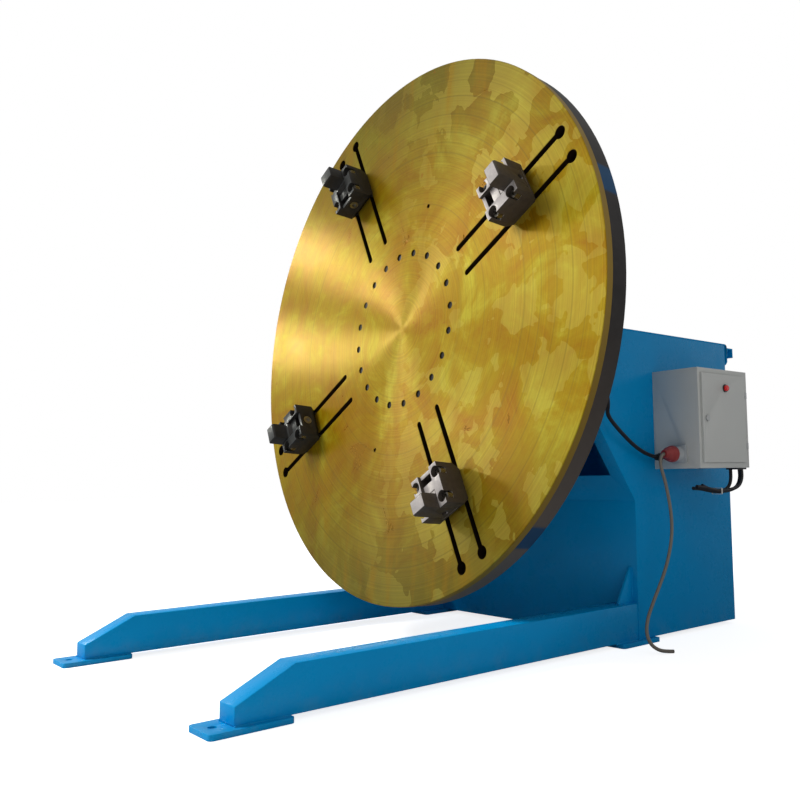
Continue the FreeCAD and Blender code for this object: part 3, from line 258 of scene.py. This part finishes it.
    oil = add(tree, RANGE, {"Value": cloud, 1: 0.3, 2: 0.75, 3: 0.26, 4: 0.42})
    rough = add(tree, MIX, {0: rim, 2: oil, 3: 0.42})
    tree.links.new(rough, shader.inputs["Roughness"])
    outward = add(tree, "ShaderNodeMapping", {"Vector": flat, "Rotation": (lean, 0, 0)}, vector_type="VECTOR")
    outward = add(tree, "ShaderNodeVectorTransform", {0: outward}, vector_type="VECTOR",
                  convert_from="OBJECT", convert_to="WORLD")
    tree.links.new(outward, shader.inputs["Tangent"])
    groove = add(tree, BUMP, {"Height": fine, "Strength": 0.35, "Distance": 0.0012})
    film = add(tree, NOISE, {"Vector": flat, "Scale": per(62.5), "Detail": 5.0, "Roughness": 0.6})
    film = add(tree, BUMP, {"Height": film, "Strength": 0.22, "Distance": 0.0015, "Normal": groove})
    tree.links.new(film, shader.inputs["Normal"])
    return material


def jaw_steel(name, face_tones, side_tones):
    """Jaw steel: ground where it faces the work, sawn and scaly on its other sides."""
    material, tree, shader, place = finish_of(name, Metallic=0.45)
    where = place.outputs["Object"]
    facing = add(tree, VECTORS, {0: place.outputs["Normal"], 1: face_normal}, "Value",
                 operation="DOT_PRODUCT")
    facing = add(tree, RANGE, {"Value": facing, 1: 0.90, 2: 0.97, 3: 0.0, 4: 1.0})
    mottle = add(tree, NOISE, {"Vector": where, "Scale": per(16.7), "Detail": 6.0, "Roughness": 0.7})
    sawn, ground = (add(tree, MIX, {0: mottle, 6: linear(dark), 7: linear(pale)}, 2, data_type="RGBA")
                    for dark, pale in (side_tones, face_tones))
    colour = add(tree, MIX, {0: facing, 6: sawn, 7: ground}, 2, data_type="RGBA")
    tree.links.new(colour, shader.inputs["Base Color"])
    rough = add(tree, MIX, {0: facing, 2: 0.55, 3: 0.34})
    tree.links.new(rough, shader.inputs["Roughness"])
    pits = add(tree, NOISE, {"Vector": where, "Scale": per(6), "Detail": 4.0})
    skin = add(tree, BUMP, {"Height": pits, "Strength": 0.35, "Distance": 0.0012})
    tree.links.new(skin, shader.inputs["Normal"])
    return material


def plain_finish(name, first, second, blotch=40.0, rough=(0.35, 0.5), bump=0.0003, grain=1.5, **constants):
    """A finish of one material: two close tones in blotches, uneven gloss and a fine grain; blotch and grain
    are in millimetres."""
    material, tree, shader, place = finish_of(name, **constants)
    where = place.outputs["Object"]
    tone = add(tree, NOISE, {"Vector": where, "Scale": per(blotch), "Detail": 4.0})
    colour = add(tree, MIX, {0: tone, 6: linear(first), 7: linear(second)}, 2, data_type="RGBA")
    tree.links.new(colour, shader.inputs["Base Color"])
    gloss = add(tree, RANGE, {"Value": tone, 1: 0.3, 2: 0.7, 3: rough[0], 4: rough[1]})
    tree.links.new(gloss, shader.inputs["Roughness"])
    skin = add(tree, NOISE, {"Vector": where, "Scale": per(grain), "Detail": 2.0})
    skin = add(tree, BUMP, {"Height": skin, "Strength": 0.3, "Distance": bump})
    tree.links.new(skin, shader.inputs["Normal"])
    return material


enamel = machinery_enamel()
turned = oiled_turned_plate()
# ground and oiled carbon steel, pinkish grey where ground and brown-grey where sawn
light_jaw = jaw_steel("ground_jaw_steel", ("#DDD5D0", "#A09A98"), ("#3C3632", "#5C534A"))
# blackened by heat treatment, bright only along its edges
dark_jaw = jaw_steel("heat_blackened_steel", ("#565755", "#3A3B3A"), ("#201F1E", "#3A3733"))
# screws dipped in hot oxide: near black, with an oily sheen
black_oxide = plain_finish("black_oxide_screws", "#1D1D1E", "#323133", 8.0, (0.28, 0.42), Metallic=0.7)
# cap screws worn bright by the spanner
bright_screw = plain_finish("oiled_cap_screws", "#6B675F", "#8E897F", 8.0, (0.2, 0.34), Metallic=0.9)
# turned and oiled carbon steel, even grey
machined = plain_finish("machined_shaft_steel", "#8E8E8B", "#A6A5A1", 25.0, (0.25, 0.38), Metallic=0.95)
# electroplated zinc, pale and slightly cloudy
zinc = plain_finish("bright_zinc_plate", "#B5B8BA", "#C9CBCA", 20.0, (0.25, 0.4), Metallic=0.9)
# hobbed teeth under a film of brown grease
hobbed = plain_finish("greased_gear_steel", "#6A6456", "#86806F", 30.0, (0.22, 0.4), Metallic=0.85)
# cast and bored bronze, warm and dull
bronze = plain_finish("cast_bearing_bronze", "#A87E3C", "#BC9450", 20.0, (0.3, 0.45), Metallic=0.9)
# rolled-on enamel over rough castings
drive_enamel = plain_finish("grey_drive_enamel", "#4C555E", "#58616A", 90.0, (0.32, 0.45), 0.0006, 3.0)
# pressed carbon brush, matt
graphite = plain_finish("sintered_graphite", "#1A1A1B", "#29292A", 6.0, (0.5, 0.65))
# baked powder coat: satin, with a fine grain
powder = plain_finish("light_grey_powder_coat", "#C4C6C3", "#CDCFCC", 180.0, (0.38, 0.5), 0.0004, 2.2)
# clear red polycarbonate, smooth as it left the mould
lens = plain_finish("red_moulded_lens", "#E01016", "#F42026", 10.0, (0.08, 0.14), 0.0001, Coat_Weight=0.5)
# moulded polyamides: even colour, satin skin
black_nylon = plain_finish("black_moulded_nylon", "#17181A", "#222326", 20.0, (0.38, 0.5))
red_nylon = plain_finish("red_moulded_nylon", "#8A2C2C", "#9E3A3A", 25.0, (0.4, 0.52), 0.0005, 3.0)
grey_nylon = plain_finish("grey_moulded_nylon", "#A0A6AA", "#AEB3B6", 25.0, (0.4, 0.5))
tie_nylon = plain_finish("natural_nylon", "#D8D5CC", "#E4E2DA", 10.0, (0.4, 0.5))
# extruded cable sheaths: black rubber, and grey vinyl dusty from the floor
black_sheath = plain_finish("black_rubber_sheath", "#16161A", "#24232A", 30.0, (0.42, 0.6), 0.0005, 3.0)
grey_sheath = plain_finish("grey_pvc_sheath", "#6E6860", "#857D73", 60.0, (0.4, 0.55), 0.0004, 3.0)

finish_by_slot = {
    "blue_paint": enamel, "machined_table": turned, "machined_steel": machined, "jaw_steel": dark_jaw,
    "dark_steel": black_oxide, "zinc_steel": zinc, "gear_steel": hobbed, "bronze": bronze,
    "drive_paint": drive_enamel, "carbon": graphite, "cabinet_paint": powder, "red_lens": lens,
    "black_plastic": black_nylon, "red_plastic": red_nylon, "grey_plastic": grey_nylon,
    "white_plastic": tie_nylon, "black_rubber": black_sheath, "grey_rubber": grey_sheath,
}
for part in frame["record"]["subparts"]:
    paint(nodes[part["node"]], finish_by_slot[part["material_slot"]])
for n in "14":
    for name in ("jaw_base_", "sliding_jaw_"):
        paint(nodes[name + n], light_jaw)
for n in "1234":
    paint(nodes["jaw_bolts_" + n], bright_screw)

# ---- broken edges --------------------------------------------------------------------------------
edge_widths = {"frame_body": 2.5, "left_leg": 3.0, "right_leg": 3.0, "leg_gussets": 2.0, "foot_plates": 2.0,
               "top_cover": 2.0, "cable_hook": 1.5, "head_frame": 3.0, "cabinet_body": 1.5,
               "cabinet_door": 1.0, "supply_inlet": 1.5}      # in millimetres
edge_widths.update({"jaw_base_" + n: 2.5 for n in "1234"})
edge_widths.update({"sliding_jaw_" + n: 2.0 for n in "1234"})
for name, width in edge_widths.items():
    dressed(name, width)


# ---- welds ---------------------------------------------------------------------------------------
def bead_nodes():
    """Geometry Nodes: a weld laid along every edge of a mesh, one lens of metal after another."""
    tree = bpy.data.node_groups.new("weld_bead", "GeometryNodeTree")
    sockets = tree.interface
    sockets.new_socket("Seams", in_out="INPUT", socket_type="NodeSocketGeometry")
    for name, kind in (("Radius", "Float"), ("Pitch", "Float"), ("Seed", "Int"), ("Finish", "Material")):
        sockets.new_socket(name, in_out="INPUT", socket_type="NodeSocket" + kind)
    sockets.new_socket("Weld", in_out="OUTPUT", socket_type="NodeSocketGeometry")
    given = add(tree, "NodeGroupInput", take=None).outputs
    path = add(tree, "GeometryNodeMeshToCurve", {"Mesh": given["Seams"]})
    path = add(tree, "GeometryNodeResampleCurve", {"Curve": path, "Length": given["Pitch"]}, mode="LENGTH")
    lens = add(tree, "GeometryNodeMeshUVSphere", {"Segments": 8, "Rings": 5, "Radius": given["Radius"]})
    along = add(tree, "GeometryNodeInputTangent")
    turn = add(tree, "FunctionNodeAlignRotationToVector", {"Vector": along}, axis="X")
    uneven = add(tree, "FunctionNodeRandomValue", {2: 0.82, 3: 1.12, "Seed": given["Seed"]}, 1)
    stretch = add(tree, VECTORS, {0: (1.3, 1.0, 1.0), "Scale": uneven}, operation="SCALE")
    laid = add(tree, "GeometryNodeInstanceOnPoints", {"Points": path, "Instance": lens, "Rotation": turn,
                                                     "Scale": stretch})
    laid = add(tree, "GeometryNodeRealizeInstances", {0: laid})
    laid = add(tree, "GeometryNodeSetMaterial", {"Geometry": laid, "Material": given["Finish"]})
    add(tree, "NodeGroupOutput", {0: laid}, None)
    return tree


def weld(name, seams, body, **settings):
    """Welds along pairs of points, as one plain mesh that rides a body."""
    mesh = bpy.data.meshes.new(name)
    ends = [point for seam in seams for point in seam]
    mesh.from_pydata(ends, [(i, i + 1) for i in range(0, len(ends), 2)], [])
    piece = bpy.data.objects.new(name, mesh)
    bpy.context.scene.collection.objects.link(piece)
    laying = piece.modifiers.new("weld", "NODES")
    laying.node_group = weld_bead
    for socket in weld_bead.interface.items_tree:
        if socket.name in settings:
            laying[socket.identifier] = settings[socket.name]
    plain = bpy.data.meshes.new_from_object(piece.evaluated_get(bpy.context.evaluated_depsgraph_get()))
    piece.modifiers.clear()
    piece.data = plain
    smoothed(plain, 60)
    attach(piece, body)
    return piece


weld_bead = bead_nodes()
seams = []
for side in (-1, 1):
    inner, outer = side * leg_inner, side * leg_outer
    seams += [((inner, panel_front, leg_top), (outer, panel_front, leg_top))]
    seams += [((edge, panel_front, plate_top + 0.001), (edge, panel_front, leg_top))
              for edge in (inner, outer)]
    for face in (side * x for x in gusset_faces):
        seams += [((face, gusset_front, leg_top), (face, panel_front, leg_top)),
                  ((face, panel_front, leg_top), (face, panel_front, gusset_top))]
    for front, back in plate_runs:
        seams += [((edge, front, plate_top), (edge, back, plate_top)) for edge in (inner, outer)]
weld("leg_welds", seams, "stand", Radius=0.0034, Pitch=0.0052, Seed=7, Finish=enamel)
fold = [((-leg_outer + 0.004, panel_front, fold_height), (leg_outer - 0.004, panel_front, fold_height))]
weld("fold_line", fold, "stand", Radius=0.0011, Pitch=0.0024, Seed=3, Finish=enamel)


# ---- cords -----------------------------------------------------------------------------------------
def cord(name, points, diameter, length, finish, far_end, replaced=(), **declared):
    """A cord along its route on one smooth spline."""
    curve = bpy.data.curves.new(name, "CURVE")
    curve.dimensions = "3D"
    spline = curve.splines.new("NURBS")
    spline.points.add(len(points) - 1)
    for point, place in zip(spline.points, points):
        point.co = (*place, 1)
    spline.order_u = 3
    spline.use_endpoint_u = True
    spline.resolution_u = 10
    curve.bevel_depth = diameter / 2
    curve.bevel_resolution = 5
    curve.use_fill_caps = True
    curve.materials.append(finish)
    piece = bpy.data.objects.new(name, curve)
    bpy.context.scene.collection.objects.link(piece)
    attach(piece, "stand")
    if replaced:
        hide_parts(*replaced)
    return piece


supply_route = [(0.712, 0.497, 0.664), (0.712, 0.479, 0.664), (0.7124, 0.466, 0.654), (0.713, 0.460, 0.636),
                (0.7135, 0.467, 0.606), (0.714, 0.482, 0.572), (0.715, 0.495, 0.524), (0.7155, 0.506, 0.474),
                (0.716, 0.511, 0.424), (0.716, 0.507, 0.374), (0.716, 0.492, 0.322), (0.716, 0.464, 0.262),
                (0.716, 0.425, 0.206), (0.717, 0.387, 0.156), (0.722, 0.351, 0.110), (0.732, 0.331, 0.068),
                (0.745, 0.335, 0.034), (0.760, 0.355, 0.015), (0.773, 0.381, 0.008), (0.784, 0.407, 0.0063)]
lead_route = [(0.626, 0.217, 0.900), (0.653, 0.217, 0.899), (0.674, 0.220, 0.883), (0.683, 0.225, 0.857),
              (0.678, 0.234, 0.829), (0.650, 0.258, 0.798), (0.645, 0.311, 0.758), (0.638, 0.363, 0.727),
              (0.633, 0.417, 0.696), (0.630, 0.465, 0.6755), (0.628, 0.507, 0.6625), (0.627, 0.549, 0.655)]
rear_spare = [(0.742, 0.906, 0.606), (0.742, 0.909, 0.588), (0.742, 0.906, 0.570), (0.742, 0.897, 0.554),
              (0.742, 0.883, 0.542), (0.742, 0.863, 0.534), (0.742, 0.835, 0.529), (0.742, 0.800, 0.526),
              (0.742, 0.755, 0.525), (0.742, 0.705, 0.530), (0.742, 0.655, 0.539), (0.742, 0.607, 0.541)]
outer_spare = [(0.755, 0.901, 0.606), (0.755, 0.903, 0.588), (0.755, 0.900, 0.571), (0.755, 0.891, 0.556),
               (0.755, 0.877, 0.545), (0.755, 0.858, 0.538), (0.755, 0.831, 0.533), (0.755, 0.798, 0.530),
               (0.755, 0.755, 0.529), (0.755, 0.705, 0.534), (0.755, 0.655, 0.544), (0.755, 0.611, 0.547)]
front_spare = [(0.729, 0.867, 0.606), (0.729, 0.868, 0.590), (0.729, 0.867, 0.573), (0.729, 0.862, 0.557),
               (0.729, 0.852, 0.544), (0.729, 0.837, 0.535), (0.729, 0.815, 0.530), (0.729, 0.785, 0.529),
               (0.729, 0.755, 0.531), (0.729, 0.717, 0.537), (0.729, 0.680, 0.550)]
cord("supply_flex", supply_route, 0.012, 0.802, grey_sheath, "bare", ["supply_cord"], stiffness="limp",
     lay="hanging", with_pieces=[nodes["supply_plug"]])
cord("control_flex", lead_route, 0.014, 0.484, black_sheath, "object", ["control_lead"], stiffness="limp",
     lay="hanging")
cord("spare_flex_rear", rear_spare, 0.013, 0.352, black_sheath, "bare", ["cable_hank"], stiffness="limp",
     lay="hanging")
cord("spare_flex_outer", outer_spare, 0.013, 0.339, black_sheath, "bare", ["cable_hank"], stiffness="limp",
     lay="hanging")
cord("spare_flex_front", front_spare, 0.013, 0.243, black_sheath, "bare", ["hank_tail"], stiffness="limp",
     lay="hanging", with_pieces=[nodes["cable_tie"]])

# ---- floor, light and camera -------------------------------------------------------------------
floor_mesh = bpy.data.meshes.new("studio_floor")
far = 30
floor_mesh.from_pydata([(-far, -far, 0), (far, -far, 0), (far, far, 0), (-far, far, 0)], [], [(0, 1, 2, 3)])
floor = bpy.data.objects.new("studio_floor", floor_mesh)
bpy.context.scene.collection.objects.link(floor)
pale = bpy.data.materials.new("pale_studio_floor")
pale.use_nodes = True
tree = pale.node_tree
shader = tree.nodes["Principled BSDF"]
shader.inputs["Roughness"].default_value = 0.9
shader.inputs["Specular IOR Level"].default_value = 0.0
mirrored = add(tree, "ShaderNodeLightPath", take="Is Glossy Ray")
tone = add(tree, MIX, {0: mirrored, 6: (0.80, 0.80, 0.80, 1), 7: (0.30, 0.30, 0.30, 1)}, 2, data_type="RGBA")
tree.links.new(tone, shader.inputs["Base Color"])
glow = add(tree, "ShaderNodeEmission", {"Color": (1, 1, 1, 1), "Strength": 0.80})
both = add(tree, "ShaderNodeAddShader", {0: shader.outputs[0], 1: glow})
seen = add(tree, "ShaderNodeLightPath", take="Is Camera Ray")
mixed = add(tree, "ShaderNodeMixShader", {0: seen, 1: shader.outputs[0], 2: both})
tree.links.new(mixed, tree.nodes["Material Output"].inputs["Surface"])
floor_mesh.materials.append(pale)

world = bpy.data.worlds.new("studio")
bpy.context.scene.world = world
world.use_nodes = True
tree = world.node_tree
tree.nodes.clear()
path = add(tree, "ShaderNodeLightPath", take=None)
bright = add(tree, MATHS, {0: path.outputs["Is Camera Ray"], 1: path.outputs["Is Transmission Ray"]},
             operation="MAXIMUM")
glossy = add(tree, MATHS, {0: path.outputs["Is Glossy Ray"], 1: 0.34}, operation="MULTIPLY")
bright = add(tree, MATHS, {0: bright, 1: glossy}, operation="MAXIMUM")
strength = add(tree, RANGE, {"Value": bright, 1: 0.0, 2: 1.0, 3: 0.29, 4: 1.0})
sky = add(tree, "ShaderNodeBackground", {"Color": (1, 1, 1, 1), "Strength": strength})
add(tree, "ShaderNodeOutputWorld", {"Surface": sky}, None)


def lamp(name, place, aim, size, watts, colour=(1, 1, 1)):
    """A soft square lamp aimed at a point."""
    light = bpy.data.lights.new(name, "AREA")
    light.size, light.energy, light.color = size, watts, colour
    holder = bpy.data.objects.new(name, light)
    bpy.context.scene.collection.objects.link(holder)
    holder.location = place
    holder.rotation_euler = (Vector(aim) - Vector(place)).to_track_quat("-Z", "Y").to_euler()
    return holder


lamp("key_lamp", (-3.2, -4.6, 5.2), (0, 0, 0.9), 2.4, 560).visible_glossy = False
lamp("fill_lamp", (5.0, -1.5, 3.0), (0, 0.3, 0.8), 3.0, 30).visible_glossy = False
# two windows on the left, mirrored in the turned face as bright wedges through its middle
for name, place in (("upper_window", (-4.27, -1.98, 2.97)), ("lower_window", (-4.56, -1.93, 2.15))):
    lamp(name, place, face_centre, 0.4, 19, (1.0, 1.0, 0.90)).visible_diffuse = False

yaw, pitch, roll = radians(47.56), radians(5.31), radians(-0.97)
forward = Vector((-sin(yaw) * cos(pitch), cos(yaw) * cos(pitch), sin(pitch)))
right = Vector((cos(yaw), sin(yaw), 0))
above = right.cross(forward)
side = right * cos(roll) + above * sin(roll)
above = above * cos(roll) - right * sin(roll)
view = bpy.data.cameras.new("camera")
view.lens, view.sensor_width = 39.08, 36.0
view.shift_x, view.shift_y = -0.1329, -0.0047
view.clip_end = 200
camera = bpy.data.objects.new("camera", view)
bpy.context.scene.collection.objects.link(camera)
camera.matrix_world = Matrix((side, above, -forward)).transposed().to_4x4()
camera.location = (2.59709, -1.98527, 0.59250)
bpy.context.scene.camera = camera
bpy.context.scene.view_settings.view_transform = "Standard"
